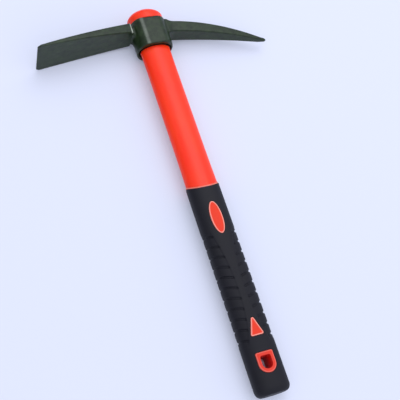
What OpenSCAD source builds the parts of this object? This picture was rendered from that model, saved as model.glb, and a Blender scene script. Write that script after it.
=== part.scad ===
// Small pick mattock: a forged head with an adze and a pick, on a moulded handle with a rubber grip.
// It lies on its side. The handle runs along Y with its butt at -Y, the adze points to -X, the pick to +X.
// The origin is under the middle of the whole tool, at the height of its lowest point.

/* [Overall] */
// Length from the top of the knob to the butt end
overall_len = 380; // [340:1:460]

/* [Eye] */
// Outside length of the eye, from the adze side to the pick side
eye_w = 35.4; // [34.4:0.1:42]
// Outside thickness of the eye across its flat cheeks
eye_t = 30; // [28:0.1:36]
// How far the round of the eye would bulge past each flat cheek
cheek_flat = 1.4; // [0.3:0.1:2]
// Height of the eye along the handle
eye_h = 29.7; // [26:0.1:40]

/* [Adze] */
// Reach of the adze from the handle axis to its cutting edge
adze_reach = 111; // [90:1:140]
// Width of the cutting edge
adze_edge_w = 39; // [32:0.5:60]
// Width of the blade at its shoulder, next to the eye
adze_root_w = 24.6; // [20:0.2:28]
// Width of the neck that joins the blade to the eye
adze_neck_w = 18; // [12:0.2:19]
// Gap between the eye wall and the shoulder of the blade
adze_shoulder_gap = 1; // [0.4:0.1:4]
// Thickness of the blade at the eye
adze_root_t = 10.4; // [6:0.1:12]
// Thickness of the blade at its cutting edge
adze_edge_t = 1.4; // [0.6:0.1:2]
// Height of the blade above the middle of the eye
adze_rise = 6.9; // [0:0.1:7]
// How far the cutting edge drops below the root of the blade
adze_drop = 11; // [0:0.1:20]
// Bow of the blade's upper face over a straight line
adze_top_bow = 0.6; // [0:0.1:3]
// Bow of the blade's inner face over a straight line
adze_inner_bow = 1; // [0:0.1:3]
// Bow of the blade's two sides over straight lines
adze_side_bow = 1; // [0:0.1:1.2]
// Cut off the corners of the cutting edge
adze_corner = 2.4; // [0.5:0.1:4]

/* [Pick] */
// Reach of the pick from the handle axis to its point
pick_reach = 114; // [90:1:140]
// Width of the pick at the eye
pick_root_w = 17.2; // [12:0.2:20]
// Thickness of the pick at the eye
pick_root_t = 12; // [8:0.1:14]
// Width of the pick where its short point begins
pick_end_w = 6; // [3:0.1:8]
// Thickness of the pick where its short point begins
pick_end_t = 3.8; // [2:0.1:6]
// Length of the short point
pick_point_len = 8; // [4:0.5:14]
// Flat left on the very tip
pick_tip_flat = 1.6; // [0.4:0.1:2]
// Height of the pick above the middle of the eye
pick_rise = 5.6; // [0:0.1:6]
// How far the point drops below the root of the pick
pick_drop = 26.2; // [5:0.1:40]
// Bow of the pick's upper face over a straight line
pick_top_bow = 4.5; // [0:0.1:8]
// Bow of the pick's inner face over a straight line
pick_inner_bow = 2.5; // [0:0.1:6]
// Bow of the pick's two sides over straight lines
pick_side_bow = 1.4; // [0:0.1:3]

/* [Knob] */
// Width of the knob above the eye
knob_w = 34.8; // [33.6:0.1:40]
// Thickness of the knob
knob_t = 29.2; // [27:0.1:36]
// Height of the knob's upright side
knob_side_h = 6; // [3:0.1:10]
// Height of the knob's round crown
knob_crown_h = 9; // [5:0.1:14]

/* [Shaft] */
// Width of the bare shaft
shaft_w = 28.4; // [26:0.1:28.8]
// Thickness of the bare shaft
shaft_t = 19.4; // [18:0.1:20]
// Width of the shaft where it meets the grip
shaft_low_w = 29.2; // [28.4:0.1:29.4]
// Length above the grip over which the shaft narrows from that width
taper_len = 40; // [20:1:60]
// Width of the shaft where it fills the eye
tenon_w = 29; // [28.6:0.1:29.6]
// Length below the eye over which the shaft swells to that width
flare_len = 24; // [10:1:60]
// Thickness of the resin round the shaft in the eye
bond_t = 0.5; // [0.3:0.1:0.8]
// Diameter of the stiff rod in the shaft
rod_d = 11; // [8:0.1:12]
// Plastic over the rod's upper end, inside the knob
rod_top_cover = 9; // [5:0.5:14]
// Plastic between the rod's lower end and the hang hole's bezel
rod_end_cover = 6; // [4:0.5:20]

/* [Grip] */
// Length of the rubber grip
grip_len = 191; // [182:1:220]
// Width of the grip at its upper edge
grip_top_w = 30.5; // [30.3:0.1:32]
// Width of the grip near its butt
grip_butt_w = 31.2; // [30:0.1:34]
// Thickness of the grip
grip_t = 21; // [20.6:0.1:24]
// Squareness of the grip's oval: 2 is a true oval, more is squarer
grip_square = 2.3; // [2:0.1:3]
// How far the grip's upper edge dips at the front and back
grip_edge_dip = 5; // [2:0.5:9]
// Length of the thin lip that lies on the bare shaft
grip_lip = 14; // [10:1:20]
// Height of the small slope that finishes the lip's edge
lip_slope_h = 0.7; // [0.3:0.1:1.5]
// Depth of that slope
lip_slope_d = 0.3; // [0.1:0.05:0.4]
// Depth of the step in the plastic that the thick rubber fills
grip_step = 1.1; // [0.6:0.1:1.6]
// Rubber that closes the butt
butt_wall = 4; // [2.5:0.1:6]
// Rounding of the butt's corners along the handle
butt_round = 6; // [3:0.1:8]
// How far the butt's rounding runs in from the narrow sides
butt_inset_w = 5; // [2:0.1:7]
// How far the butt's rounding runs in from the front and back
butt_inset_t = 2.6; // [1:0.1:4]

/* [Tread] */
// Number of grooves across each side of the grip
groove_count = 11; // [8:1:12]
// Step from one groove to the next
groove_pitch = 9.4; // [8:0.1:9.6]
// Width of a groove
groove_w = 3; // [2:0.1:4]
// Width of a groove's floor
groove_floor = 1.2; // [0.6:0.1:1.6]
// Depth of a groove below the tread
groove_depth = 0.8; // [0.4:0.05:0.8]
// How far a groove climbs from the middle of the grip to its narrow sides
groove_climb = 5; // [0:0.5:8]
// Depth of the tread panels below the plain grip
panel_depth = 0.25; // [0.1:0.05:0.5]
// Width of the slope at the inner edge of a tread panel
panel_slope = 2; // [1:0.1:4]
// Half width of the plain band between the panels where it is narrowest
band_waist = 3; // [2:0.1:6]
// Half width of the plain band where the panels end
band_end = 10; // [8:0.1:12]
// Distance from the hang hole's bezel to the lowest groove
tread_gap = 8.6; // [8:0.1:12]

/* [Windows] */
// Length of the oval window
oval_len = 30.5; // [20:0.5:36]
// Width of the oval window
oval_w = 11; // [7:0.1:13]
// Distance from the lowest part of the grip's upper edge to the oval's middle
oval_from_edge = 29.7; // [28:0.1:34]
// Length of the triangle window
tri_len = 15.5; // [10:0.1:17]
// Width of the triangle window
tri_w = 11.4; // [8:0.1:14]
// Distance from the triangle's base to the hang hole's bezel
tri_gap = 13.9; // [10:0.1:18]
// Width of the hang hole's bezel
bezel_w = 15.6; // [14.6:0.1:18]
// Length of the hang hole's bezel
bezel_len = 17.8; // [16:0.1:20]
// Plastic round the hang hole
bezel_wall = 3.3; // [2.6:0.1:4]
// Distance from the butt end to the bezel
bezel_from_butt = 16.8; // [12:0.1:20]
// Radius of the corners of the triangle and the bezel
window_round = 1.4; // [0.8:0.1:2]
// Gap between the orange plastic and the rubber round a window
window_gap = 0.3; // [0.2:0.05:0.5]
// How far the orange faces lie below the rubber
window_sink = 0.25; // [0.1:0.05:0.5]

/* [Hidden] */

$fn = 64;
// Straight steps along each curved edge of the head
edge_steps = 10;
// Points round the grip
ring_points = 48;
// Steps along the shaft's taper and flare, round the knob's crown and round the butt's corner
flare_steps = 4;
crown_steps = 8;
butt_steps = 5;
// Angle at which the crown stops short of a point
crown_stop = 4;
// Spare length by which a cut runs past what it cuts
spare = 1;

// Heights along the handle, measured from the middle of the eye
eye_top = eye_h / 2;
eye_base = -eye_h / 2;
knob_top = eye_top + knob_side_h + knob_crown_h;
butt = knob_top - overall_len;
grip_top = butt + grip_len;
edge_low = grip_top - grip_edge_dip;
step_at = edge_low - grip_lip;
plug_end = butt + butt_wall;
bezel_low = butt + bezel_from_butt;
bezel_high = bezel_low + bezel_len;
tri_low = bezel_high + tri_gap;
oval_mid = edge_low - oval_from_edge;
rod_low = bezel_high + rod_end_cover;
rod_high = knob_top - rod_top_cover;
groove_low = bezel_high + tread_gap;
tread_half = groove_count * groove_pitch / 2;
tread_low = groove_low - groove_pitch / 2;
tread_mid = tread_low + tread_half;
tread_high = tread_mid + tread_half;

// Widths shared by pieces that fit each other
plug_w = shaft_w - 2 * grip_step;
plug_t = shaft_t - 2 * grip_step;
tenon_t = shaft_t + tenon_w - shaft_w;
hole_w = bezel_w - 2 * bezel_wall;
hole_len = bezel_len - 2 * bezel_wall;

// Moves the tool from the middle of the eye to the origin
low_side = max(adze_edge_w, eye_t, knob_t) / 2;
to_origin = [(adze_reach - pick_reach) / 2, overall_len / 2 - knob_top, low_side];

// A value that runs from one end of a bowed edge to the other as s goes from 0 to 1
function bowed(s, from, to, bow) = from + (to - from) * s + 4 * bow * s * (1 - s);

// Points along a bowed edge, with x from x0 to x1
function edge(x0, x1, from, to, bow) =
    [for (i = [0 : edge_steps]) [x0 + (x1 - x0) * i / edge_steps, bowed(i / edge_steps, from, to, bow)]];

// The same points in the other order
function backwards(p) = [for (i = [len(p) - 1 : -1 : 0]) p[i]];

// The same points on the other side of the X axis, in the other order
function across(p) = [for (q = backwards(p)) [q[0], -q[1]]];

// Points of an oval, w wide and t thick
function oval(w, t) = [for (i = [0 : ring_points - 1])
    [w / 2 * cos(360 * i / ring_points), t / 2 * sin(360 * i / ring_points)]];

// The same oval as a ring round the handle at a height
function oval_ring(y, w, t) = [for (p = oval(w, t)) [p[0], y, p[1]]];

// A straight bar along Y, with its outline drawn across the handle
module bar(y0, y1) {
    translate([0, y1, 0]) rotate([90, 0, 0]) linear_extrude(height = y1 - y0) children();
}

// A closed skin over rings that have the same number of points, with a centre point in each end
module skin(rings) {
    n = len(rings[0]);
    m = len(rings);
    first = n * m;
    ends = [[0, rings[0][n / 4][1], 0], [0, rings[m - 1][n / 4][1], 0]];
    walls = [for (k = [0 : m - 2], i = [0 : n - 1]) let (j = (i + 1) % n)
        each [[k * n + i, k * n + j, (k + 1) * n + i], [k * n + j, (k + 1) * n + j, (k + 1) * n + i]]];
    caps = [for (i = [0 : n - 1]) let (j = (i + 1) % n)
        each [[first, j, i], [first + 1, (m - 1) * n + i, (m - 1) * n + j]]];
    polyhedron(points = concat([for (r = rings) each r], ends), faces = concat(walls, caps));
}

// What is common to a side view and a view from above
module two_views(side, plan, thick, tall) {
    intersection() {
        linear_extrude(height = thick, center = true) polygon(side);
        rotate([90, 0, 0]) linear_extrude(height = tall, center = true) polygon(plan);
    }
}

// Adze blade with its neck, from inside the eye wall to the cutting edge
module adze() {
    shoulder = -eye_w / 2 - adze_shoulder_gap;
    inside = -eye_w / 2 + adze_neck_w / 4;
    edge_y = adze_rise - adze_drop;
    root_top = adze_rise + adze_root_t / 2;
    root_inner = adze_rise - adze_root_t / 2;
    top = edge(shoulder, -adze_reach, root_top, edge_y + adze_edge_t / 2, adze_top_bow);
    inner = edge(shoulder, -adze_reach, root_inner, edge_y - adze_edge_t / 2, adze_inner_bow);
    side = concat([[inside, root_top]], top, backwards(inner), [[inside, root_inner]]);
    flank = edge(shoulder, adze_corner - adze_reach, adze_root_w / 2, adze_edge_w / 2, adze_side_bow);
    half = concat([[inside, adze_neck_w / 2], [shoulder + adze_shoulder_gap, adze_neck_w / 2]], flank,
        [[-adze_reach, adze_edge_w / 2 - adze_corner]]);
    two_views(side, concat(half, across(half)), adze_edge_w + 2 * spare, 2 * (eye_h + adze_drop));
}

// Pick from inside the eye wall to its point
module pick() {
    root = eye_w / 2;
    inside = root - pick_root_w / 4;
    point = pick_reach - pick_point_len;
    end_y = pick_rise - pick_drop * (point - root) / (pick_reach - root);
    tip_y = pick_rise - pick_drop;
    top = edge(root, point, pick_rise + pick_root_t / 2, end_y + pick_end_t / 2, pick_top_bow);
    inner = edge(root, point, pick_rise - pick_root_t / 2, end_y - pick_end_t / 2, pick_inner_bow);
    side = concat([[inside, pick_rise + pick_root_t / 2]], top,
        [[pick_reach, tip_y + pick_tip_flat / 2], [pick_reach, tip_y - pick_tip_flat / 2]],
        backwards(inner), [[inside, pick_rise - pick_root_t / 2]]);
    flank = edge(root, point, pick_root_w / 2, pick_end_w / 2, pick_side_bow);
    half = concat([[inside, pick_root_w / 2]], flank, [[pick_reach, pick_tip_flat / 2]]);
    two_views(side, concat(half, across(half)), pick_root_w + 2 * spare, 2 * (eye_h + pick_drop));
}

// Eye of the head: an oval ring with flat cheeks
module eye() {
    intersection() {
        bar(eye_base, eye_top) polygon(oval(eye_w, eye_t + 2 * cheek_flat));
        cube([eye_w + 2 * spare, eye_h + 2 * spare, eye_t], center = true);
    }
}

module pick_head() {
    color("darkolivegreen") translate(to_origin) difference() {
        union() {
            eye();
            adze();
            pick();
        }
        bar(eye_base - spare, eye_top + spare) bore_outline();
    }
}

// Outline of the bore in the eye
module bore_outline() {
    polygon(oval(tenon_w + 2 * bond_t, tenon_t + 2 * bond_t));
}

// Resin between the eye and the shaft
module eye_bond() {
    color("#2a211a") translate(to_origin) bar(eye_base, eye_top) difference() {
        bore_outline();
        polygon(oval(tenon_w, tenon_t));
    }
}

// Rings of the orange plastic from the butt up: slim plug in the grip, tapered bare shaft, flare and tenon
shaft_rings = [
    oval_ring(plug_end, plug_w, plug_t),
    oval_ring(step_at, plug_w, plug_t),
    oval_ring(step_at, shaft_low_w, shaft_t),
    for (i = [0 : flare_steps])
        let (s = i / flare_steps, widen = (1 - s) * (1 - s))
        oval_ring(grip_top + taper_len * s, shaft_w + (shaft_low_w - shaft_w) * widen, shaft_t),
    for (i = [0 : flare_steps])
        let (s = i / flare_steps, swell = s * s)
        oval_ring(eye_base - flare_len * (1 - s),
            shaft_w + (tenon_w - shaft_w) * swell, shaft_t + (tenon_t - shaft_t) * swell),
    oval_ring(eye_top, tenon_w, tenon_t)
];

// Rings of the knob that the head rests against: an upright side and a round crown
knob_rings = [
    oval_ring(eye_top, knob_w, knob_t),
    for (i = [0 : crown_steps])
        let (last = 90 - crown_stop, a = last * i / crown_steps)
        oval_ring(eye_top + knob_side_h + knob_crown_h * sin(a) / sin(last), knob_w * cos(a), knob_t * cos(a))
];

// Outlines of the windows, seen from the front; grow is 0 for the plastic and the gap for the rubber
module oval_outline(grow) {
    translate([0, oval_mid]) scale([(oval_w / 2 + grow) / (oval_len / 2 + grow), 1])
        circle(oval_len / 2 + grow);
}

module tri_outline(grow) {
    r = window_round + grow;
    hull() {
        translate([window_round - tri_w / 2, tri_low + window_round]) circle(r, $fn = 24);
        translate([tri_w / 2 - window_round, tri_low + window_round]) circle(r, $fn = 24);
        translate([0, tri_low + tri_len - window_round]) circle(r, $fn = 24);
    }
}

// A shape with square upper corners and a round lower end
module bezel_shape(w, len, low, round, grow) {
    hull() {
        translate([0, low + w / 2]) circle(w / 2 + grow, $fn = 40);
        for (side = [-1, 1])
            translate([side * (w / 2 - round), low + len - round]) circle(round + grow, $fn = 24);
    }
}

module bezel_outline(grow) {
    bezel_shape(bezel_w, bezel_len, bezel_low, window_round, grow);
}

module hole_outline() {
    bezel_shape(hole_w, hole_len, bezel_low + bezel_wall, window_round, 0);
}

// Something drawn from the front, cut right through the handle
module through() {
    linear_extrude(height = 2 * grip_t, center = true) children();
}

// Raised orange faces that fill the windows, on the front and the back
module window_faces() {
    intersection() {
        union() {
            through() oval_outline(0);
            through() tri_outline(0);
            through() bezel_outline(0);
        }
        skin([for (y = [plug_end, edge_low]) grip_ring(y, window_sink, window_sink, 0)]);
    }
}

module handle_jacket() {
    color("orangered") translate(to_origin) difference() {
        union() {
            skin(concat(shaft_rings, knob_rings));
            window_faces();
        }
        through() hole_outline();
        rod_shape();
    }
}

module rod_shape() {
    translate([0, rod_low, 0]) rotate([-90, 0, 0]) cylinder(h = rod_high - rod_low, d = rod_d);
}

module core_rod() {
    color("khaki") translate(to_origin) rod_shape();
}

// Width of the grip at a height
function grip_w(y) = grip_butt_w + (grip_top_w - grip_butt_w) * (y - butt) / grip_len;

// Power of a sine or cosine that keeps its sign
function pressed(v) = sign(v) * pow(abs(v), 2 / grip_square);

// Half width of the plain band at a height
function band(y) = band_waist + (band_end - band_waist) * pow((y - tread_mid) / tread_half, 2);

// 1 inside the tread panels, 0 on the plain band, with a short slope between
function panel(x, y) = max(0, min(1, (abs(x) - band(y)) / panel_slope));

// How far a ring climbs to the narrow sides: with the grooves along the tread, not at all at the bezel
function climb(y) = groove_climb
    * lookup(y, [[bezel_high, 0], [tread_low, 1], [tread_high, 1], [edge_low, 0]]);

// How far a ring dips at the front and back, above the tread
function dip(y) = grip_edge_dip * lookup(y, [[tread_high, 0], [edge_low, 1]]);

// One ring of the grip: in_w and in_t draw it in, and dig is its depth in the tread panels
function grip_ring(y, in_w, in_t, dig) = [for (i = [0 : ring_points - 1])
    let (a = 360 * i / ring_points,
        w = grip_w(y) / 2 - in_w,
        t = grip_t / 2 - in_t,
        cut = dig * panel(w * pressed(cos(a)), y),
        up = climb(y) * abs(cos(a)) + dip(y) * (1 - abs(sin(a))))
    [(w - cut) * pressed(cos(a)), y + up, (t - cut) * pressed(sin(a))]];

// Rings from the butt up to the upper edge
butt_rings = [for (i = [butt_steps : -1 : 0])
    let (a = 90 * i / butt_steps)
    grip_ring(butt + butt_round * (1 - sin(a)), butt_inset_w * (1 - cos(a)), butt_inset_t * (1 - cos(a)), 0)];
plain_rings = [for (y = [bezel_low, bezel_high, tread_low]) grip_ring(y, 0, 0, 0)];
groove_section = [
    [-groove_w / 2, panel_depth],
    [-groove_floor / 2, panel_depth + groove_depth],
    [groove_floor / 2, panel_depth + groove_depth],
    [groove_w / 2, panel_depth]
];
tread_rings = [for (k = [0 : groove_count - 1], s = groove_section)
    grip_ring(groove_low + k * groove_pitch + s[0], 0, 0, s[1])];
top_rings = [
    grip_ring(tread_high, 0, 0, 0),
    grip_ring(edge_low - lip_slope_h, 0, 0, 0),
    grip_ring(edge_low, lip_slope_d, lip_slope_d, 0)
];

module grip_sleeve() {
    color("dimgray") translate(to_origin) difference() {
        skin(concat(butt_rings, plain_rings, tread_rings, top_rings));
        skin(shaft_rings);
        through() oval_outline(window_gap);
        through() tri_outline(window_gap);
        through() bezel_outline(window_gap);
    }
}

pick_head();
handle_jacket();
core_rod();
eye_bond();
grip_sleeve();
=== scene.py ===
# %% [markdown]
# # A small pick mattock, dressed in Blender
# The tool has a forged head with a wide adze on one side and a curved pick on the other, an orange moulded
# handle and a black rubber grip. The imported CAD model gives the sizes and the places. This lesson builds
# fine meshes in the same places and gives each one the finish of its real material.

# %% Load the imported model
import math

import bmesh
import bpy
from mathutils import Matrix, Vector


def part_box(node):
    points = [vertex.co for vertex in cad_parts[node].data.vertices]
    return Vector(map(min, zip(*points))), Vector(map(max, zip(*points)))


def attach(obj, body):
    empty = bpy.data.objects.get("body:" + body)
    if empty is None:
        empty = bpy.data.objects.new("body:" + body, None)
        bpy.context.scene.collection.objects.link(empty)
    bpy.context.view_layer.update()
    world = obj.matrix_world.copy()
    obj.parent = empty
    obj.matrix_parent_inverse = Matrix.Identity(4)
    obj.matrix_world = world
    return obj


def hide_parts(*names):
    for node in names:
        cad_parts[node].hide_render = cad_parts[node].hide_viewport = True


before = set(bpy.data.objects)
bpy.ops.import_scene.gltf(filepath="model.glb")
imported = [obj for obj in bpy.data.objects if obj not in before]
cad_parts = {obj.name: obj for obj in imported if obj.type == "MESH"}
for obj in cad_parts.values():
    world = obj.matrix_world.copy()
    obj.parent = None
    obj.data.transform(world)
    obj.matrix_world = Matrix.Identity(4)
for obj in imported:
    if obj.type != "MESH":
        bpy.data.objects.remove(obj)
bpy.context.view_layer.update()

# %% [markdown]
# ## Where everything is
# All shapes below are written in millimetres from the middle of the eye, the hole in the head that the
# handle goes through: x towards the pick, y up the handle, z out of the flat cheek. One matrix takes them
# to the frame. The main sizes are read from the boxes of the CAD pieces, so the looks follow the
# construction. Widths (_w) run along x and thicknesses (_t) along z, and both are halves, measured out from
# the handle's axis.

# %% Sizes from the frame
MM = 0.001
bond_low, bond_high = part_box("eye_bond")
head_low, head_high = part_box("pick_head")
handle_low, handle_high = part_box("handle_jacket")
grip_low, grip_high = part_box("grip_sleeve")
eye_middle = (bond_low + bond_high) / 2
to_frame = Matrix.Translation(eye_middle) @ Matrix.Scale(MM, 4)

eye_half = (bond_high.y - bond_low.y) / 2 / MM
bore_w = (bond_high.x - bond_low.x) / 2 / MM
bore_t = (bond_high.z - bond_low.z) / 2 / MM
adze_reach = (eye_middle.x - head_low.x) / MM
pick_reach = (head_high.x - eye_middle.x) / MM
edge_half = (head_high.z - head_low.z) / 2 / MM
knob_w = (handle_high.x - handle_low.x) / 2 / MM
knob_t = (handle_high.z - handle_low.z) / 2 / MM
knob_top = (handle_high.y - eye_middle.y) / MM
plug_end = (handle_low.y - eye_middle.y) / MM
butt = (grip_low.y - eye_middle.y) / MM
grip_top = (grip_high.y - eye_middle.y) / MM
grip_w = (grip_high.x - grip_low.x) / 2 / MM
grip_t = (grip_high.z - grip_low.z) / 2 / MM
print(f"reach {adze_reach:.1f} and {pick_reach:.1f} mm, handle from {butt:.1f} to {knob_top:.1f} mm")

# %% [markdown]
# ## Small mesh tools
# A loft joins rings of points with quads, which suits a handle, a blade and a pick alike. Bevelled curves
# could do the same, but a ring is free to be an oval, a box or a wavy line. Booleans then join or cut the
# lofts, and the result is baked into a plain mesh, so that the model holds real geometry.


# %% Lofts
def new_piece(name, points, faces):
    """A mesh object from points in millimetres, measured from the middle of the eye."""
    mesh = bpy.data.meshes.new(name)
    mesh.from_pydata(points, [], faces)
    mesh.transform(to_frame)
    shape = bmesh.new()
    shape.from_mesh(mesh)
    bmesh.ops.recalc_face_normals(shape, faces=shape.faces)
    shape.to_mesh(mesh)
    shape.free()
    piece = bpy.data.objects.new(name, mesh)
    bpy.context.scene.collection.objects.link(piece)
    return piece


def loft(name, rings, closed=False):
    """A skin over rings with the same number of points; closed joins the last ring to the first."""
    count = len(rings[0])
    points = [point for ring in rings for point in ring]
    faces = []
    for k in range(len(rings) - (0 if closed else 1)):
        first, second = k * count, (k + 1) % len(rings) * count
        for i in range(count):
            j = (i + 1) % count
            faces.append((first + i, first + j, second + j, second + i))
    if not closed:
        faces.append(tuple(range(count)))
        faces.append(tuple(range(len(points) - count, len(points))))
    return new_piece(name, points, faces)


# %% Booleans and baking
def bake(piece):
    """Turns what the modifiers show into the piece's own mesh."""
    shown = piece.evaluated_get(bpy.context.evaluated_depsgraph_get())
    mesh = bpy.data.meshes.new_from_object(shown)
    piece.modifiers.clear()
    piece.data = mesh


def combine(piece, tool, operation):
    """Joins the tool to the piece, or cuts it out, and removes the tool."""
    step = piece.modifiers.new("combine", "BOOLEAN")
    step.operation = operation
    step.solver = "EXACT"
    step.object = tool
    bake(piece)
    bpy.data.objects.remove(tool)


# %% [markdown]
# ## The forged head
# The real head is one drop forging: adze, eye and pick flow into each other with soft corners. Modelling it
# as one subdivision cage is possible, but the oval bore makes the cage awkward. Here three lofts are
# joined, the bore is cut, and a voxel remesh followed by a little smoothing melts the seams the way hot
# steel would.
#
# ### Adze blade
# The adze is the wide digging blade. It leaves the eye on a narrow neck, has square shoulders, and grows
# wider and thinner towards its cutting edge. Each section along it is a rectangle with round corners, so
# the soft edges of a forging come with the loft and need no bevel.

# %% Blade sections
corner_steps = 5
most_round = 0.49  # the largest corner radius, as a share of a side


def bowed(s, start, end, bow):
    """Goes from start to end as s goes from 0 to 1, bulging by bow in the middle."""
    return start + (end - start) * s + 4 * bow * s * (1 - s)


def box_ring(x, top, low, half, radius):
    """A rectangle with round corners, square to x."""
    r = min(radius, most_round * (top - low), most_round * 2 * half)
    corners = ((top - r, half - r), (top - r, r - half), (low + r, r - half), (low + r, half - r))
    ring = []
    for quarter, (y, z) in enumerate(corners):
        for i in range(corner_steps + 1):
            a = math.radians(90 * (quarter + i / corner_steps))
            ring.append((x, y + r * math.sin(a), z + r * math.cos(a)))
    return ring


eye_w, eye_t = 17.7, 15.0
shoulder_gap = 1.0
adze_shoulder = eye_w + shoulder_gap
adze_run = adze_reach - adze_shoulder
adze_root_top, adze_edge_top, adze_top_bow = 12.1, -3.2, 0.8
adze_root_low, adze_edge_low, adze_low_bow = 1.7, -5.0, 1.0


def adze_ring(s, half, radius):
    """The blade's section at s from the shoulder, 0, to the cutting edge, 1."""
    top = bowed(s, adze_root_top, adze_edge_top, adze_top_bow)
    low = bowed(s, adze_root_low, adze_edge_low, adze_low_bow)
    return box_ring(-adze_shoulder - adze_run * s, top, low, half, radius)


print(f"blade runs {adze_run:.1f} mm from its shoulder to its edge")

# %% Adze
neck_half, neck_top, neck_round = 9.0, 11.2, 2.5
# Places along the neck, and how low its underside lies there
neck_under = ((-12, -3.0), (-15.5, -2.2), (-16.8, -0.8), (-17.8, 0.8), (-18.5, 1.7))
shoulder_half, shoulder_round, shoulder_steps = 12.3, 1.2, 5
blade_from, blade_steps = 0.03, 28
blade_round, edge_round = 1.1, 0.3
side_bow = 1.0
edge_spare = 0.3  # room for the smoothing below, which draws the edge's two ends in
corner_from, corner_cut = 0.975, 2.2  # the edge's two corners are rounded over the blade's last part

adze_rings = [box_ring(x, neck_top, under, neck_half, neck_round) for x, under in neck_under]
for i in range(shoulder_steps + 1):
    turn = math.radians(90 * i / shoulder_steps)
    s = shoulder_round * (1 - math.cos(turn)) / adze_run
    half = shoulder_half - shoulder_round * (1 - math.sin(turn))
    adze_rings.append(adze_ring(s, half, blade_round))
for i in range(1, blade_steps + 1):
    s = blade_from + (1 - blade_from) * i / blade_steps
    half = bowed(s, shoulder_half, edge_half + edge_spare, side_bow)
    corner = max(0.0, s - corner_from) / (1 - corner_from)
    half -= corner_cut * (1 - math.sqrt(max(0.0, 1 - corner * corner)))
    adze_rings.append(adze_ring(min(s, 1.0), half, blade_round * (1 - s) + edge_round))
adze = loft("adze", adze_rings)
print("adze rings:", len(adze_rings))

# %% [markdown]
# ### Pick
# The pick is the narrow, hooked arm that breaks hard ground. It bends down and thins out evenly, and its
# last millimetres are ground to a short point. A curve with a tapered bevel would give the bend, but the
# pick is four-sided and its sides bow, so it is a loft like the adze. Near the eye the sections grow,
# which makes the fillet that a forging has there.

# %% Pick
pick_root = eye_w
pick_run = pick_reach - pick_root
root_top, root_low, root_half = 11.6, -0.4, 8.6
pick_mid = (root_top + root_low) / 2
pick_drop, point_len = 26.2, 8.0
point_y = pick_mid - pick_drop * (1 - point_len / pick_run)
end_up, end_down, end_half = 1.7, 2.0, 3.0
top_bow, low_bow, flank_bow = 4.5, 2.5, 1.4
fillet_len, fillet_up, fillet_down, fillet_out = 7.0, 2.0, 1.6, 0.9
root_round, round_loss = 1.5, 0.6
pick_steps = 40


def pick_ring(x):
    """The pick's section at x, from the eye to where the short point begins."""
    s = (x - pick_root) / (pick_run - point_len)
    near = max(0.0, 1 - (x - pick_root) / fillet_len) ** 2
    top = bowed(s, root_top, point_y + end_up, top_bow) + fillet_up * near
    low = bowed(s, root_low, point_y - end_down, low_bow) - fillet_down * near
    half = bowed(s, root_half, end_half, flank_bow) + fillet_out * near
    return box_ring(x, top, low, half, root_round - round_loss * s)


inside_eye = 12
inner_top, inner_low, inner_half = root_top + fillet_up, root_low - fillet_down, root_half + fillet_out
pick_rings = [box_ring(inside_eye, inner_top, inner_low, inner_half, root_round)]
for i in range(pick_steps + 1):
    pick_rings.append(pick_ring(pick_root + (pick_run - point_len) * i / pick_steps))
# Sections of the short point: share of its length, half height and half width
point_sections = ((0.4, 1.7, 2.2), (0.75, 1.5, 1.8), (0.93, 1.1, 1.3), (1.0, 0.5, 0.7))
point_round, point_dip = 0.9, 0.4
for s, half_h, half_w in point_sections:
    x = pick_reach - point_len * (1 - s)
    y = bowed(s, point_y, pick_mid - pick_drop, 0) - point_dip
    pick_rings.append(box_ring(x, y + half_h, y - half_h, half_w, point_round))
pick = loft("pick", pick_rings)
print("pick rings:", len(pick_rings))

# %% [markdown]
# ### Eye
# The eye is the strong ring that holds the handle: an oval with two flat cheeks and slightly rounded rims.
# It is a loft of ovals that are pulled apart in the middle. Adze and pick are joined to it, and then the
# bore is cut, so that no blade is left inside. The bore's lower mouth is flared, which leaves a dark line
# round the handle.

# %% Eye, joined to both and bored
cheek_flat = 7.5
rim_round, rim_steps = 1.2, 4


def oval_ring(y, half_w, half_t, power=2.0, count=128):
    """An oval square to y; a power above 2 makes it squarer."""
    ring = []
    for i in range(count):
        a = 2 * math.pi * i / count
        c, s = math.cos(a), math.sin(a)
        x = math.copysign(abs(c) ** (2 / power), c)
        z = math.copysign(abs(s) ** (2 / power), s)
        ring.append((half_w * x, y, half_t * z))
    return ring


def eye_ring(y, draw_in):
    """An oval with flat cheeks, square to y."""
    ring = []
    for x, _, z in oval_ring(y, eye_w - cheek_flat - draw_in, eye_t - draw_in):
        ring.append((x + math.copysign(cheek_flat, x), y, z))
    return ring


eye_rings = []
for side in (-1, 1):
    turns = [math.radians(90 * i / rim_steps) for i in range(rim_steps + 1)]
    for turn in turns[::-side]:
        draw_in = rim_round * (1 - math.sin(turn))
        y = side * (eye_half - rim_round * (1 - math.cos(turn)))
        eye_rings.append(eye_ring(y, draw_in))
head = loft("forged_head", eye_rings)
combine(head, adze, "UNION")
combine(head, pick, "UNION")
bore_past, bore_flare = 2, 1.5
flare_end, bore_from = 0.4, 3
bore_steps = ((-eye_half - bore_past, bore_flare), (-eye_half + flare_end, bore_flare),
              (-eye_half + bore_from, 0), (eye_half + bore_past, 0))
bore = loft("bore", [oval_ring(y, bore_w + flare, bore_t + flare) for y, flare in bore_steps])
combine(head, bore, "DIFFERENCE")
print(f"wall of the eye {eye_t - bore_t:.1f} mm at the cheek, {eye_w - bore_w:.1f} mm at the side")

# %% [markdown]
# ### Melting the seams
# Lofts that are joined meet in hard lines, and a forging has none. A bevel modifier can't follow such lines
# well, so the head is remeshed into small even faces and smoothed: a little all over, and more in a vertex
# group where adze and pick meet the eye. The rims of the eye stay out of that group, so that they keep
# their shape.

# %% Melt the seams
voxel = 0.5
seam_reach = 5.0
rim_keep = 2
pick_seam_from, adze_seam_from, adze_seam_to = 11, -17.6, -11
soften_times, melt_times = 2, 14
head_crease = 60


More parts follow.
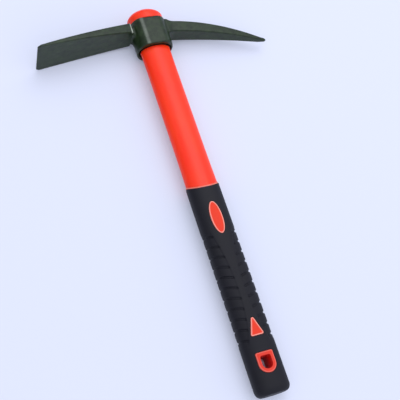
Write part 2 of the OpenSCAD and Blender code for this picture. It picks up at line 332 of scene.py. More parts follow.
def smooth(piece, crease_degrees):
    """Smooth shading, with sharp edges left where faces meet at more than the crease angle."""
    piece.data.shade_smooth()
    piece.data.set_sharp_from_angle(angle=math.radians(crease_degrees))


remesh = head.modifiers.new("remesh", "REMESH")
remesh.mode = "VOXEL"
remesh.voxel_size = voxel * MM
bake(head)
seam = head.vertex_groups.new(name="seam")
to_eye = to_frame.inverted()
for vertex in head.data.vertices:
    p = to_eye @ vertex.co
    from_wall = abs(math.hypot(p.x / eye_w, p.z / eye_t) - 1) * eye_t
    inside_rims = eye_half - rim_keep - abs(p.y)
    at_blade = p.x > pick_seam_from or adze_seam_from < p.x < adze_seam_to
    if at_blade and from_wall < seam_reach and inside_rims > 0:
        seam.add([vertex.index], min(1.0, inside_rims) * (1 - from_wall / seam_reach), "REPLACE")
for name, group, times in (("soften", "", soften_times), ("melt", "seam", melt_times)):
    step = head.modifiers.new(name, "SMOOTH")
    step.factor = 0.5
    step.iterations = times
    step.vertex_group = group
bake(head)
smooth(head, head_crease)
print("head points:", len(head.data.vertices))

# %% [markdown]
# ### Painted highlights on the head
# The adze's shoulders and the edge of the cheek next to it show a thin pale highlight. Here it is painted
# into the colour instead of coming from the lamps. This could be painted by hand as a vertex colour. A rule
# that gives each point a number from its place does the same and follows the sizes. The enamel reads that
# number later.

# %% Painted highlights on the corners of the head
shoulder_at = adze_shoulder + 0.3
shoulder_near, shoulder_far = 0.5, 1.3
corner_in, corner_out = shoulder_half - 2.6, shoulder_half - 1.4
cheek_at = cheek_flat + 0.6
cheek_near, cheek_far = 0.5, 2.6
cheek_in, cheek_out = eye_t - 0.8, eye_t - 0.3
cheek_highlight = 0.2


def part_way(v, low, high):
    """How far v is on its way from low to high, from 0 to 1."""
    return min(1.0, max(0.0, (v - low) / (high - low)))


def ramp(v, low, high):
    """How far v is on its way from low to high, from 0 to 1 and eased at both ends."""
    s = part_way(v, low, high)
    return s * s * (3 - 2 * s)


def mark(piece, name, values):
    """Stores how much painted highlight or painted shade each point has, from 0 to 1, for the material to
    read.
    """
    layer = piece.data.attributes.new(name, "FLOAT", "POINT")
    layer.data.foreach_set("value", values)


def hand_over(piece, node):
    """The piece moves with the one body and stands for its CAD node, which is hidden."""
    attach(piece, "root")
    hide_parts(node)
    print(f"{piece.name}: {len(piece.data.vertices)} points, stands for {node}")


# Painted highlight: a pale line on the adze's shoulders, and a weaker one on the cheek's edge on the adze
# side only
painted_highlight = []
for vertex in head.data.vertices:
    p = to_eye @ vertex.co
    shoulder = 1 - ramp(abs(p.x + shoulder_at), shoulder_near, shoulder_far)
    shoulder *= ramp(abs(p.z), corner_in, corner_out)
    cheek = 1 - ramp(abs(abs(p.x) - cheek_at), cheek_near, cheek_far)
    cheek *= ramp(abs(p.z), cheek_in, cheek_out)
    painted_highlight.append(max(shoulder, cheek_highlight * cheek if p.x < 0 else 0.0))
mark(head, "painted_highlight", painted_highlight)
hand_over(head, "pick_head")

# %% [markdown]
# ## The orange handle
# The handle is one injection moulding. A slimmer plug lies inside the grip, the bare shaft swells into the
# eye, and a knob above it keeps the head from flying off. It could be turned with a screw modifier if it
# were round. It is oval, so a loft of ovals follows it from the plug to the crown of the knob.

# %% Shaft
plug_w, plug_t = 13.1, 8.6
shaft_w, shaft_t = 14.2, 9.7
shaft_low_w = 14.6
step_depth = 19
step_at = grip_top - step_depth
taper_len, taper_steps = 40, 8
flare_len, flare_steps = 24, 12
flare_from = -eye_half - flare_len
bond_gap = 0.5
tenon_w, tenon_t = bore_w - bond_gap, bore_t - bond_gap

shaft_rings = [oval_ring(plug_end, plug_w, plug_t), oval_ring(step_at, plug_w, plug_t)]
shaft_rings.append(oval_ring(step_at, shaft_low_w, shaft_t))
for i in range(taper_steps + 1):
    s = i / taper_steps
    widen = (shaft_low_w - shaft_w) * (1 - s) ** 2
    shaft_rings.append(oval_ring(grip_top + taper_len * s, shaft_w + widen, shaft_t))
shaft_rings.append(oval_ring(flare_from, shaft_w, shaft_t))
for i in range(1, flare_steps + 1):
    s = i / flare_steps
    swell = (tenon_w - shaft_w) * s * s
    shaft_rings.append(oval_ring(flare_from + flare_len * s, shaft_w + swell, shaft_t + swell))
shaft_rings.append(oval_ring(eye_half, tenon_w, tenon_t))
print("shaft rings:", len(shaft_rings))

# %% [markdown]
# ### Knob
# The knob is the thick head of the handle above the eye. A scaled sphere joined with a boolean would give
# its crown, but also a seam to round off. Here the shaft's rings simply go on: out over a small round at
# the knob's foot, up its straight side and over the crown.

# %% Knob
knob_side_h = 6
knob_side = eye_half + knob_side_h
knob_round = 0.9
crown_power = 1.2  # above 1 the crown is a little more pointed than an ellipse
foot_turns, crown_turns = range(0, 91, 18), range(0, 89, 4)  # degrees

for turn in foot_turns:
    a = math.radians(turn)
    draw_in = knob_round * (1 - math.sin(a))
    y = eye_half + knob_round * (1 - math.cos(a))
    shaft_rings.append(oval_ring(y, knob_w - draw_in, knob_t - draw_in))
for turn in crown_turns:
    a = math.radians(turn)
    y = knob_side + (knob_top - knob_side) * math.sin(a) ** crown_power
    spread = math.cos(a) ** crown_power
    shaft_rings.append(oval_ring(y, knob_w * spread, knob_t * spread))
handle = loft("moulded_handle", shaft_rings)
print("handle rings:", len(shaft_rings))

# %% [markdown]
# ## The rubber grip
# The grip is soft rubber moulded over the plug. Its tread could be a bump map, but then its outline would
# stay smooth. Here the tread is real grooves: every ring of the loft follows the chevrons, so a groove is
# just a few rings that lie deeper, and the light catches its edges at any distance. A plain band with a
# narrow waist runs down the middle of the tread.

# %% Sizes of the grip and its tread
grip_power = 2.3
grip_taper = 0.35
grip_top_w = grip_w - grip_taper
edge_dip = 5.0
edge_low = grip_top - edge_dip
bezel_up, bezel_len = 16.8, 17.8
bezel_low = butt + bezel_up
bezel_high = bezel_low + bezel_len
groove_count, groove_pitch = 11, 9.4
groove_up = 8.6
groove_low = bezel_high + groove_up
groove_climb = 5.0
groove_depth, groove_flat, groove_half = 0.95, 0.25, 1.5
tread_low = groove_low - groove_pitch / 2
tread_half = groove_count * groove_pitch / 2
tread_mid = tread_low + tread_half
tread_high = tread_mid + tread_half
panel_depth, panel_slope, panel_end = 0.25, 1.2, 0.035
band_waist, band_end = 2.6, 9.6
ring_count = 192
print(f"tread from {tread_low:.1f} to {tread_high:.1f} mm, {groove_count} grooves")


# %% Grip surface
def half_width(y):
    """Half the grip's width at a height."""
    return grip_w + (grip_top_w - grip_w) * (y - butt) / (grip_top - butt)


def tread_depth(x, y):
    """How deep the rubber lies at a place in the tread panels, 0 on the plain band."""
    along = (y - tread_mid) / tread_half
    if abs(along) >= 1:
        return 0.0
    band = band_waist + (band_end - band_waist) * along * along
    panel = ramp(abs(x), band, band + panel_slope) * ramp(1 - abs(along), 0.0, panel_end)
    nearest = abs((y - groove_low + groove_pitch / 2) % groove_pitch - groove_pitch / 2)
    groove = 1 - ramp(nearest, groove_flat, groove_half)
    return panel * (panel_depth + groove_depth * groove)


def grip_ring(y, in_w=0.0, in_t=0.0):
    """A ring of the grip that climbs to the narrow sides with the chevrons and with the upper edge."""
    climb = groove_climb * part_way(y, bezel_high, tread_low) * part_way(y, edge_low, tread_high)
    dip = edge_dip * part_way(y, tread_high, edge_low)
    ring = []
    for x, _, z in oval_ring(y, 1, 1, grip_power, ring_count):
        deep = tread_depth(x * half_width(y), y)
        angle = math.atan2(abs(z) ** (grip_power / 2), abs(x) ** (grip_power / 2))
        up = climb * math.cos(angle) + dip * (1 - math.sin(angle))
        ring.append(((half_width(y) - in_w - deep) * x, y + up, (grip_t - in_t - deep) * z))
    return ring


# %% [markdown]
# ### Ends of the grip
# The butt has round corners, and the upper edge has a small round lip. A bevel modifier could round them,
# but it would catch the grooves as well. Quarter turns of rings are drawn in there instead. Between the
# two ends, rings lie close together only along the tread, which keeps the mesh light.

# %% Grip solid
butt_round, butt_in_w, butt_in_t, butt_steps = 6.0, 5.0, 2.6, 11
lip_round, lip_in = 0.6, 0.35
lip_turns = range(0, 91, 30)  # degrees
coarse_step, fine_step, fine_margin = 1.5, 0.5, 1

grip_rings = []
for i in range(butt_steps + 1):
    turn = math.radians(90 * (1 - i / butt_steps))
    draw = 1 - math.cos(turn)
    y = butt + butt_round * (1 - math.sin(turn))
    grip_rings.append(grip_ring(y, butt_in_w * draw, butt_in_t * draw))
y = butt + butt_round + coarse_step
while y < edge_low - 2 * lip_round:
    grip_rings.append(grip_ring(y))
    y += fine_step if tread_low - fine_margin < y < tread_high + fine_margin else coarse_step
for turn in lip_turns:
    a = math.radians(turn)
    draw = lip_in * (1 - math.cos(a))
    grip_rings.append(grip_ring(edge_low - lip_round + lip_round * math.sin(a), draw, draw))
grip = loft("rubber_grip", grip_rings)
print("grip rings:", len(grip_rings))

# %% [markdown]
# ## Windows in the grip
# The orange plastic comes up through the rubber in an oval, a triangle and the bezel of the hang hole.
# Traced curves could draw them, but each outline is only a few arcs, so a short formula is enough and can
# be grown or drawn in for gaps and rims.

# %% Outlines of the windows
arc_steps = 16
oval_points = 96
oval_down, oval_half_len, oval_w = 29.7, 15.25, 5.5
oval_mid = edge_low - oval_down
tri_up, tri_len, tri_half = 13.9, 15.5, 5.7
tri_low = bezel_high + tri_up
window_round = 1.5
bezel_half, bezel_wall = 7.8, 3.3


def oval_outline(grow):
    """Points of the oval window, grown outwards or drawn in."""
    turns = [2 * math.pi * i / oval_points for i in range(oval_points)]
    return [((oval_w + grow) * math.cos(a), oval_mid + (oval_half_len + grow) * math.sin(a)) for a in turns]


def rounded_outline(corners, grow):
    """A convex outline with round corners: each corner is a centre, a radius and the angles of its arc."""
    points = []
    for x, y, radius, start, end in corners:
        for i in range(arc_steps + 1):
            a = math.radians(start + (end - start) * i / arc_steps)
            points.append((x + (radius + grow) * math.cos(a), y + (radius + grow) * math.sin(a)))
    return points


def triangle_outline(grow):
    """The triangle window, with its point up the handle."""
    r = window_round
    lean = math.degrees(math.atan2(tri_half - r, tri_len - 2 * r))
    right = (tri_half - r, tri_low + r, r, -90, lean)
    top = (0, tri_low + tri_len - r, r, lean, 180 - lean)
    left = (r - tri_half, tri_low + r, r, 180 - lean, 270)
    return rounded_outline((right, top, left), grow)


def d_outline(half, low, length, r, grow):
    """A shape with a square top and a round lower end."""
    top = low + length - r
    corners = ((half - r, top, r, 0, 90), (r - half, top, r, 90, 180), (0, low + half, half, 180, 360))
    return rounded_outline(corners, grow)


def bezel_outline(grow):
    """The bezel of the hang hole."""
    return d_outline(bezel_half, bezel_low, bezel_len, window_round, grow)


def hole_outline(grow):
    """The hang hole itself."""
    length = bezel_len - 2 * bezel_wall
    return d_outline(bezel_half - bezel_wall, bezel_low + bezel_wall, length, window_round, grow)


print("points of the triangle:", len(triangle_outline(0)))

# %% [markdown]
# ### Cutting the rubber
# On the real grip the rubber flows round the orange windows and leaves a fine dark gap. Each window is cut
# a little wider than its plastic, right through both sides. The rubber is then hollowed with the handle's
# own shape and the handle with the rod's, so the pieces fit and none is buried in another.

# %% Cut the rubber and the plug
window_gap = 0.35
cutter_reach = 2 * grip_t
seat_count = 5  # rings from the plug's end to just above the grip
moulded_crease = 40


def prism(name, outline, low, high):
    """An outline drawn from the front, as a solid from one depth to another."""
    return loft(name, [[(x, y, z) for x, y in outline] for z in (low, high)])


for outline in (oval_outline, triangle_outline, bezel_outline):
    combine(grip, prism("cutter", outline(window_gap), -cutter_reach, cutter_reach), "DIFFERENCE")
combine(grip, loft("seat", shaft_rings[:seat_count]), "DIFFERENCE")
combine(handle, prism("cutter", bezel_outline(0), -cutter_reach, cutter_reach), "DIFFERENCE")
rod_low, rod_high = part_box("core_rod")
rod_half = (rod_high.x - rod_low.x) / 2 / MM
rod_ends = [(corner.y - eye_middle.y) / MM for corner in (rod_low, rod_high)]
combine(handle, loft("rod_seat", [oval_ring(y, rod_half, rod_half) for y in rod_ends]), "DIFFERENCE")
smooth(grip, moulded_crease)
smooth(handle, moulded_crease)
hand_over(grip, "grip_sleeve")
hand_over(handle, "handle_jacket")

# %% [markdown]
# ### Inlays
# The oval and the triangle are plastic faces with a narrow raised rim, which carries a painted highlight in
# a pale colour. A bevelled curve could be laid round each for the rim. Lofting inwards from the outline is
# simpler: a few rings go up and over the rim, and the rest follow the crown of the grip to the middle, so
# the face is never flat.

# %% Inlays with a raised rim
# Each step of the rim: how far it lies inside the outline, its height, and how much painted highlight it has
rim_profile = ((0.0, -0.5, 0.0), (0.05, 0.0, 0.7), (0.25, 0.3, 1.0), (0.55, 0.4, 1.0), (0.85, 0.3, 1.0),
               (1.15, 0.05, 0.3), (1.4, 0.0, 0.0))
inlay_foot = 6.0
inlay_sink = 0.1
face_shares = (0.9, 0.7, 0.4, 0.12)
inlay_crease = 70
tri_centre = 0.4


def skin_height(x, y):
    """Height of the plain grip over the handle's axis."""
    out = min(1.0, abs(x) / half_width(y))
    return grip_t * (1 - out**grip_power) ** (1 / grip_power)


def on_skin(outline, lift, face):
    """An outline laid on the grip's front, 1, or back, -1, and lifted from a little under its skin."""
    return [(x, y, face * (skin_height(x, y) + lift - inlay_sink)) for x, y in outline]


def inlay(name, outline, centre_y, face):
    """A closed solid from inside the plug to its rimmed face, on the grip's front, 1, or back, -1."""
    rings = [[(x, y, face * inlay_foot) for x, y in outline(0)]]
    highlights = [0.0]
    for inset, lift, highlit in rim_profile:
        rings.append(on_skin(outline(-inset), lift, face))
        highlights.append(highlit)
    last = outline(-rim_profile[-1][0])
    for share in face_shares:
        rings.append(on_skin([(x * share, centre_y + (y - centre_y) * share) for x, y in last], 0, face))
        highlights.append(0.0)
    piece = loft(name, rings)
    smooth(piece, inlay_crease)
    mark(piece, "painted_highlight", [highlit for highlit in highlights for _ in last])
    hand_over(piece, "handle_jacket")
    return piece


inlays = []
for face, side in ((1, "front"), (-1, "back")):
    inlays.append(inlay(f"oval_inlay_{side}", oval_outline, oval_mid, face))
    inlays.append(inlay(f"triangle_inlay_{side}", triangle_outline, tri_low + tri_centre * tri_len, face))

# %% [markdown]
# ### Bezel of the hang hole
# The bezel is a plastic ring that goes right through the grip and lines the hole for a hook. Cutting a hole
# with a boolean would leave its lips sharp. A closed loft runs in over the front face, through the hole and
# out over the back, so both lips are round. The hole's walls are marked for painted shade, a darker red,
# and its faces a little, and its rims carry half the inlays' painted highlight.

# %% Bezel
rim_count = 5  # steps of the rim that the bezel shares with the inlays
bezel_face, face_highlight, face_shade = 0.25, 0.05, 0.35
bezel_crease = 50
# Each step inwards: its outline, how far that is grown, its height, and how much painted highlight it has
bezel_steps = [(bezel_outline, -inset, lift, highlit / 2) for inset, lift, highlit in rim_profile[:rim_count]]
bezel_steps += [(bezel_outline, -1.2, bezel_face, face_highlight), (hole_outline, 0.6, bezel_face, face_highlight)]
bezel_steps += [(hole_outline, 0.25, 0.2, 0.2), (hole_outline, 0.0, -0.3, 0.0)]

bezel_rings, bezel_highlights, bezel_shade = [], [], []
for face in (1, -1):
    for outline, grow, lift, highlit in bezel_steps[::face]:
        ring = on_skin(outline(grow), lift, face)
        bezel_rings.append(ring)
        bezel_highlights += [highlit] * len(ring)
        # Painted shade: full on the walls of the hole, partial on the bezel's faces
        in_hole = outline is hole_outline and grow == 0
        bezel_shade += [1.0 if in_hole else face_shade] * len(ring)
bezel = loft("hang_hole_bezel", bezel_rings, closed=True)
smooth(bezel, bezel_crease)
mark(bezel, "painted_highlight", bezel_highlights)
mark(bezel, "painted_shade", bezel_shade)
hand_over(bezel, "handle_jacket")
inlays.append(bezel)

# %% [markdown]
# ### Bead along the grip's upper edge
# Where the rubber ends, the plastic has a thin raised bead that borders it. Its path is the grip's own
# upper ring, brought in to the shaft, so it climbs with the edge. A curve with a round bevel would do as
# well, but a closed loft keeps the bead seated on the oval shaft.

# %% Bead
bead_up, bead_half, bead_high = 0.7, 0.75, 0.55
bead_sides, bead_crease, bead_highlight = 12, 80, 0.7
edge_ring = grip_ring(edge_low)
seat_ring = oval_ring(0, shaft_low_w, shaft_t, 2.0, ring_count)
bead_rings = []
for i in range(bead_sides):
    a = 2 * math.pi * i / bead_sides
    lift = bead_high * math.sin(a)
    ring = []
    for (_, y, _), (x, _, z) in zip(edge_ring, seat_ring):
        out = Vector((x, 0, z)).normalized()
        ring.append((x + lift * out.x, y + bead_up + bead_half * math.cos(a), z + lift * out.z))
    bead_rings.append(ring)
bead = loft("grip_edge_bead", bead_rings, closed=True)
smooth(bead, bead_crease)
# The whole bead gets a painted highlight in the plastic's pale colour
mark(bead, "painted_highlight", [bead_highlight] * len(bead.data.vertices))
hand_over(bead, "handle_jacket")
inlays.append(bead)

# %% [markdown]
# ## Finishes
# Every finish starts from the real material. One function turns the hex colours that a paint chart gives
# into the linear values that Blender wants, and one small function adds a node with its settings and its
# links. A number that is the same all over a surface goes straight to the shader's socket.


# %% Colour and node helpers
def linear(code):
    """Linear colour from an sRGB hex code."""
    parts = [int(code[i:i + 2], 16) / 255 for i in (1, 3, 5)]
    return [c / 12.92 if c <= 0.04045 else ((c + 0.055) / 1.055) ** 2.4 for c in parts] + [1.0]


def connect(tree, node, inputs):
    """Fills a node's inputs: a socket is linked, and any other value is set."""
    for key, value in inputs.items():
        if isinstance(value, bpy.types.NodeSocket):
            tree.links.new(value, node.inputs[key])
        else:
            node.inputs[key].default_value = value


def add(tree, kind, inputs=None, stops=(), **settings):
    """Adds a node with its settings and links; stops are the places and hex colours along a colour ramp."""
    node = tree.nodes.new("ShaderNode" + kind)
    for key, value in settings.items():
        setattr(node, key, value)
    for i, (position, code) in enumerate(stops):
        node.color_ramp.elements[i].position = position
        node.color_ramp.elements[i].color = linear(code)
    connect(tree, node, inputs or {})
    return node


def start_material(name):
    """A new material, with its node tree, its shader and its object coordinates."""
    material = bpy.data.materials.new(name)
    material.use_nodes = True
    tree = material.node_tree
    place = add(tree, "TexCoord").outputs["Object"]
    return material, tree, tree.nodes["Principled BSDF"], place


def per_size(size_mm):
    """Texture scale that gives features of about this size."""
    return 1 / (size_mm * MM)


def dress(piece, material):
    """The piece wears this material and no other."""
    piece.data.materials.clear()
    piece.data.materials.append(material)
    print(piece.name, "wears", material.name)


print("half of full white on a screen is", round(linear("#808080")[0], 3), "in linear light")

# %% [markdown]
# ### Alkyd enamel on forged steel
# The head is dipped or sprayed with a dark green enamel that dries to a satin skin. It hides the colour of
# the steel but not its shape, so a viewer sees the shallow waves that the hammer left, with an orange peel
# on top, a blotchy depth of colour, and pale lines where the paint is worn on sharp edges. A painted
# highlight in the same pale colour lies on the adze's shoulders and the cheek's edge. One noise could drive
# all of it, but waves and peel have their own sizes, so each has its own.

# %% Green enamel
enamel, tree, shader, place = start_material("green_alkyd_enamel")
blotch = add(tree, "TexNoise", {"Vector": place, "Scale": per_size(6), "Detail": 6.0, "Roughness": 0.75})
depth = blotch.outputs["Fac"]
tint = add(tree, "ValToRGB", {"Fac": depth}, stops=((0.4, "#12200c"), (0.66, "#27371d")))
# Pointiness is above one half on outer edges
edge = add(tree, "NewGeometry").outputs["Pointiness"]
worn = add(tree, "MapRange", {"Value": edge, "From Min": 0.53, "From Max": 0.6, "To Max": 0.2})
# The painted highlight stored on the head, made patchy by the blotch noise
highlit = add(tree, "Attribute", attribute_name="painted_highlight").outputs["Fac"]
patches = add(tree, "MapRange", {"Value": depth, "From Min": 0.3, "From Max": 0.6, "To Min": 0.5})
patchy = add(tree, "Math", {0: highlit, 1: patches.outputs[0]}, operation="MULTIPLY")
wear_and_highlight = add(tree, "Math", {0: worn.outputs[0], 1: patchy.outputs[0]}, operation="MAXIMUM")
# The pale colour stands for worn paint on the edges and for the painted highlight
colour = add(tree, "MixRGB", {"Fac": wear_and_highlight.outputs[0], "Color1": tint.outputs[0],
                              "Color2": linear("#b9c0b2")})
gloss = add(tree, "MapRange", {"Value": depth, "To Min": 0.28, "To Max": 0.42})
wave = add(tree, "TexNoise", {"Vector": place, "Scale": per_size(9), "Detail": 2.0})
# Fine orange peel is about half a millimetre across, too small to show, so it is drawn three times as coarse
peel = add(tree, "TexNoise", {"Vector": place, "Scale": per_size(1.5), "Detail": 3.0})
hammered = add(tree, "Bump", {"Height": wave.outputs["Fac"], "Strength": 0.5, "Distance": 0.6 * MM})
skin = add(tree, "Bump", {"Height": peel.outputs["Fac"], "Strength": 0.4, "Distance": 0.2 * MM,
                          "Normal": hammered.outputs[0]})
# Alkyd resin has an IOR near 1.5; the flatting powder in a satin paint weakens its reflection
connect(tree, shader, {"Base Color": colour.outputs[0], "Roughness": gloss.outputs[0],
                       "Normal": skin.outputs[0], "IOR": 1.4})
dress(head, enamel)

# %% [markdown]
# ### Polypropylene
# The handle is injection moulded polypropylene, coloured all through. It leaves the polished mould with a
# smooth, slightly waxy skin: a clear reflection with soft edges, and faint flow marks along the shaft. The
# plastic lets some light in, and red goes deepest, so its shaded side glows red instead of going grey.
# Subsurface scattering gives that, where a brighter base colour would only look like paint.

# %% Orange plastic
plastic, tree, shader, place = start_material("orange_polypropylene")
stretch = add(tree, "Mapping", {"Vector": place, "Scale": (1.0, 0.15, 1.0)})
flow = add(tree, "TexNoise", {"Vector": stretch.outputs[0], "Scale": per_size(6), "Detail": 3.0})
flow = flow.outputs["Fac"]
tint = add(tree, "ValToRGB", {"Fac": flow}, stops=((0.3, "#f92c04"), (0.75, "#fd3706")), name="tint")
# A pale colour paints the highlight on the rims of the windows, the bezel and the bead
highlit = add(tree, "Attribute", attribute_name="painted_highlight").outputs["Fac"]
highlight_share = add(tree, "Math", {0: highlit, 1: 0.75}, operation="MULTIPLY")
colour = add(tree, "MixRGB", {"Fac": highlight_share.outputs[0], "Color1": tint.outputs[0],
                              "Color2": linear("#f7a695")})
# A darker red paints the shade on the walls of the hang hole and on the bezel's faces
painted_shade = add(tree, "Attribute", attribute_name="painted_shade").outputs["Fac"]
shaded_colour = add(tree, "MixRGB", {"Fac": painted_shade, "Color1": colour.outputs[0], "Color2": linear("#cc1408")})
gloss = add(tree, "MapRange", {"Value": flow, "To Min": 0.33, "To Max": 0.38}, name="gloss")
# A polished mould leaves marks of about a tenth of a millimetre; they are drawn coarser, so that they show
grain = add(tree, "TexNoise", {"Vector": place, "Scale": per_size(0.8), "Detail": 2.0})
skin = add(tree, "Bump", {"Height": grain.outputs["Fac"], "Strength": 0.1, "Distance": 0.08 * MM},
           name="skin")
# Polypropylene has an IOR of 1.49; a handled, waxy skin reflects a little less
connect(tree, shader, {"Base Color": shaded_colour.outputs[0], "Roughness": gloss.outputs[0],
                       "Normal": skin.outputs[0], "IOR": 1.41, "Subsurface Weight": 0.5,
                       "Subsurface Radius": (1.0, 0.15, 0.05), "Subsurface Scale": 5 * MM})
dress(handle, plastic)
dress(bead, plastic)

# %% [markdown]
# ### Etched polypropylene
# The orange windows are the same plastic, but their part of the mould is etched, as it often is round a
# grip. A viewer sees a duller, slightly darker face with a fine grain. A copy of the plastic with a few
# settings changed keeps the two related.

# %% Etched plastic
etched = plastic.copy()
etched.name = "etched_polypropylene"
nodes = etched.node_tree.nodes
nodes["tint"].color_ramp.elements[0].color = linear("#dc2a08")
nodes["tint"].color_ramp.elements[1].color = linear("#e2340c")
connect(etched.node_tree, nodes["gloss"], {"To Min": 0.5, "To Max": 0.7})
# The grain keeps the plastic's drawn size, coarser than a real etch, and is only deeper
connect(etched.node_tree, nodes["skin"], {"Strength": 0.5, "Distance": 0.3 * MM})
connect(etched.node_tree, nodes["Principled BSDF"], {"Subsurface Weight": 0.0})
for piece in inlays:
    if piece is not bead:
        dress(piece, etched)

# %% [markdown]
# ### Thermoplastic rubber
# The grip is soft black rubber from a lightly etched mould. It scatters most of the light and keeps a dull
# sheen, and a viewer sees a deep black that turns a little grey along the edges of the tread, where hands
# rub it. A plain dark colour would look like a hole in the picture, so dust and grain vary its tone and its
# gloss.

# %% Black rubber
rubber, tree, shader, place = start_material("black_thermoplastic_rubber")
dust = add(tree, "TexNoise", {"Vector": place, "Scale": per_size(11), "Detail": 5.0, "Roughness": 0.65})
dust = dust.outputs["Fac"]
tint = add(tree, "ValToRGB", {"Fac": dust}, stops=((0.35, "#080710"), (0.75, "#0d0c17")))
edge = add(tree, "NewGeometry").outputs["Pointiness"]
worn = add(tree, "MapRange", {"Value": edge, "From Min": 0.52, "From Max": 0.6, "To Max": 0.3})
colour = add(tree, "MixRGB", {"Fac": worn.outputs[0], "Color1": tint.outputs[0],
                              "Color2": linear("#2a2a30")})
gloss = add(tree, "MapRange", {"Value": dust, "To Min": 0.5, "To Max": 0.66})
# The etched grain of a grip is about 0.1 mm, which is too fine to show, so it is drawn six times as coarse
grain = add(tree, "TexNoise", {"Vector": place, "Scale": per_size(0.6), "Detail": 3.0})
skin = add(tree, "Bump", {"Height": grain.outputs["Fac"], "Strength": 0.25, "Distance": 0.12 * MM})
# Rubber has an IOR near 1.5; a thin coat of dust weakens its reflection
connect(tree, shader, {"Base Color": colour.outputs[0], "Roughness": gloss.outputs[0],
                       "Normal": skin.outputs[0], "IOR": 1.39})
dress(grip, rubber)

# %% [markdown]
# ### Glass fibre and resin
# Two CAD pieces keep their own mesh: the stiff rod inside the plastic, and the resin that fixes the handle
# in the eye. The rod is pulled through a die, so its straw-coloured streaks run along it. The resin is dark
# epoxy with a few trapped bubbles. The rod shows only when the tool is taken apart, and the resin only as a
# thin line at the mouth of the eye.

# %% Inner pieces
fibre, tree, shader, place = start_material("pultruded_glass_fibre")
stretch = add(tree, "Mapping", {"Vector": place, "Scale": (1.0, 0.02, 1.0)})
# Single fibres are far too fine to show, so the streaks are as wide as a bundle
streak = add(tree, "TexNoise", {"Vector": stretch.outputs[0], "Scale": per_size(0.7), "Detail": 4.0})
tint = add(tree, "ValToRGB", {"Fac": streak.outputs["Fac"]}, stops=((0.0, "#b9a565"), (1.0, "#e6dcae")))
connect(tree, shader, {"Base Color": tint.outputs[0], "Roughness": 0.45})
resin, tree, shader, place = start_material("dark_epoxy_resin")
bubble = add(tree, "TexVoronoi", {"Vector": place, "Scale": per_size(1.5)})
tint = add(tree, "ValToRGB", {"Fac": bubble.outputs["Distance"]}, stops=((0.0, "#2a211a"), (1.0, "#15110e")))
connect(tree, shader, {"Base Color": tint.outputs[0], "Roughness": 0.25})
dress(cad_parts["core_rod"], fibre)
dress(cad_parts["eye_bond"], resin)

# %% [markdown]
# ## Table, camera and light
# The tool lies on a pale table. It rests on the lower corner of the adze, the cheek of the eye and the
# butt, and three points give a plane. A level floor would be simpler, but then the butt or the eye would
# float.

# %% Table through the resting points
corner_y = -4.4  # where the adze's lower corner lies along the handle
table_half = 3.0
table_gap = 0.05
resting = (head, grip, handle)
adze_corner = Vector((head_low.x, eye_middle.y + corner_y * MM, head_low.z))
cheek_under = Vector((eye_middle.x, eye_middle.y, eye_middle.z - eye_t * MM))
butt_under = Vector((eye_middle.x, grip_low.y + butt_round * MM, grip_low.z))
table_up = (cheek_under - adze_corner).cross(butt_under - adze_corner).normalized()
if table_up.z < 0:
    table_up = -table_up
lowest = min((vertex.co - adze_corner).dot(table_up) for piece in resting for vertex in piece.data.vertices)
table_at = adze_corner + table_up * (lowest - table_gap * MM)
square = [(sx * table_half, sy * table_half, 0) for sx, sy in ((-1, -1), (1, -1), (1, 1), (-1, 1))]
mesh = bpy.data.meshes.new("table")
mesh.from_pydata(square, [], [(0, 1, 2, 3)])
table = bpy.data.objects.new("table", mesh)
bpy.context.scene.collection.objects.link(table)
table.matrix_world = Matrix.Translation(table_at) @ table_up.to_track_quat("Z", "Y").to_matrix().to_4x4()
print("table leans", round(math.degrees(table_up.angle(Vector((0, 0, 1)))), 2), "degrees")

# %% [markdown]
# ### Camera
# The camera stands where the photograph was taken from. Its angles, its distance and its lens were fitted
# to the outline of the tool, with the tool's real length and reach held. Three angles and a point to aim at
# are easier to read and to change than a matrix.

# %% Camera at the photograph's angle
azimuth, elevation, roll = math.radians(-44.65), math.radians(62.86), math.radians(29.06)
camera_far = 712.7 * MM
aim = Vector((-7.48, -11.44, 19.5)) * MM
level = math.cos(elevation)
back = Vector((math.sin(azimuth) * level, -math.cos(azimuth) * level, math.sin(elevation)))
turned = (-back).to_track_quat("-Z", "Y").to_matrix() @ Matrix.Rotation(roll, 3, "Z")
right, up = turned.col[0].copy(), turned.col[1].copy()
camera = bpy.data.objects.new("camera", bpy.data.cameras.new("camera"))
bpy.context.scene.collection.objects.link(camera)
camera.matrix_world = Matrix.Translation(aim + back * camera_far) @ turned.to_4x4()
camera.data.lens = 72.5
camera.data.sensor_width = 36.0
camera.data.clip_start = 0.01
bpy.context.scene.camera = camera
print("camera at", [round(c, 3) for c in camera.location])

# %% [markdown]
# ### Pale table
# White paper in a studio looks evenly pale, because it is lit from all round. More light would do that, but
# it would bleach the tool as well. So the paper is an ordinary matte surface that takes the shadow, and
# rays that look at it also see a faint glow of its own. Under the tool and behind the hang hole real paper
# is dark, so the glow fades where little of the room can be seen from the paper.

# %% Table finish
pale = linear("#e6ebfe")
glow_share = 0.3
glow_reach = 40 * MM


def straight_look(tree):
    """1 for rays that see the surroundings, straight, mirrored or through glass; 0 for light on the tool."""
    rays = add(tree, "LightPath").outputs
    seen = add(tree, "Math", {0: rays["Is Camera Ray"], 1: rays["Is Glossy Ray"]}, operation="MAXIMUM")
    seen = add(tree, "Math", {0: seen.outputs[0], 1: rays["Is Transmission Ray"]}, operation="MAXIMUM")
    return seen.outputs[0]


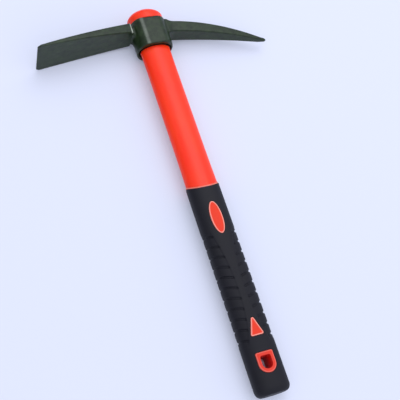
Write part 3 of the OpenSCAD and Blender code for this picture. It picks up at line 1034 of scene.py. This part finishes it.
paper, tree, shader, _ = start_material("matte_white_paper")
tree.nodes.remove(shader)
glow = add(tree, "Emission", {"Color": pale, "Strength": 1.0})
matte = add(tree, "BsdfDiffuse", {"Color": linear("#d4d8ea")})
open_sky = add(tree, "AmbientOcclusion", {"Distance": glow_reach}, samples=8).outputs["AO"]
uncovered = add(tree, "MapRange", {"Value": open_sky, "From Min": 0.1, "From Max": 0.4,
                                   "To Max": glow_share})
share = add(tree, "Math", {0: straight_look(tree), 1: uncovered.outputs[0]}, operation="MULTIPLY")
mixed = add(tree, "MixShader", {"Fac": share.outputs[0], 1: matte.outputs[0], 2: glow.outputs[0]})
connect(tree, tree.nodes["Material Output"], {"Surface": mixed.outputs[0]})
dress(table, paper)

# %% [markdown]
# ### The room
# A studio's walls light the tool softly from all round. Here the room is brighter on the right, behind the
# camera, and dimmer on the left, which rounds the handle and lays a faint shadow to its left. What the
# camera and reflections see of the room is as pale as the table. An image of a real studio would do as
# well, but a plain gradient is easier to match.

# %% Backdrop
bright_side = (right * 0.6 + up * 0.1 + back * 0.7).normalized()
dim_until, bright_from = -0.15, 0.55
fill_dim, fill_bright = 0.48, 1.37
seen_dim, seen_bright = 0.4, 1.0

world = bpy.data.worlds.new("studio")
bpy.context.scene.world = world
world.use_nodes = True
room = world.node_tree
fill = room.nodes["Background"]
connect(room, fill, {"Color": linear("#e9edf8")})
seen = add(room, "Background", {"Color": pale})
toward = add(room, "TexCoord").outputs["Generated"]
facing = add(room, "VectorMath", {0: toward, 1: bright_side}, operation="DOT_PRODUCT").outputs["Value"]
for wall, dim, bright in ((fill, fill_dim, fill_bright), (seen, seen_dim, seen_bright)):
    strength = add(room, "MapRange", {"Value": facing, "From Min": dim_until, "From Max": bright_from,
                                      "To Min": dim, "To Max": bright}, interpolation_type="SMOOTHSTEP")
    connect(room, wall, {"Strength": strength.outputs[0]})
backdrop = add(room, "MixShader", {"Fac": straight_look(room), 1: fill.outputs[0], 2: seen.outputs[0]})
connect(room, room.nodes["World Output"], {"Surface": backdrop.outputs[0]})
print("room is brightest towards", [round(c, 2) for c in bright_side])

# %% [markdown]
# ### Soft box
# One square soft box hangs over the head of the tool, a little to the right. It draws the long reflection
# on the handle and gives the shadows a direction. A point lamp would do that too, but with hard edges that
# a soft box doesn't have.

# %% Key light
key_far, key_size, key_power = 1.4, 1.0, 5.5
key_toward = back * 0.6 + right * 0.3 + up * 0.75
lamp = bpy.data.lights.new("key_box", "AREA")
lamp.shape = "SQUARE"
lamp.size = key_size
lamp.energy = key_power
key_box = bpy.data.objects.new("key_box", lamp)
bpy.context.scene.collection.objects.link(key_box)
key_box.location = aim + key_toward.normalized() * key_far
key_box.rotation_euler = (-key_toward).to_track_quat("-Z", "Y").to_euler()
bpy.context.scene.view_settings.view_transform = "Standard"
print("soft box at", [round(c, 2) for c in key_box.location])
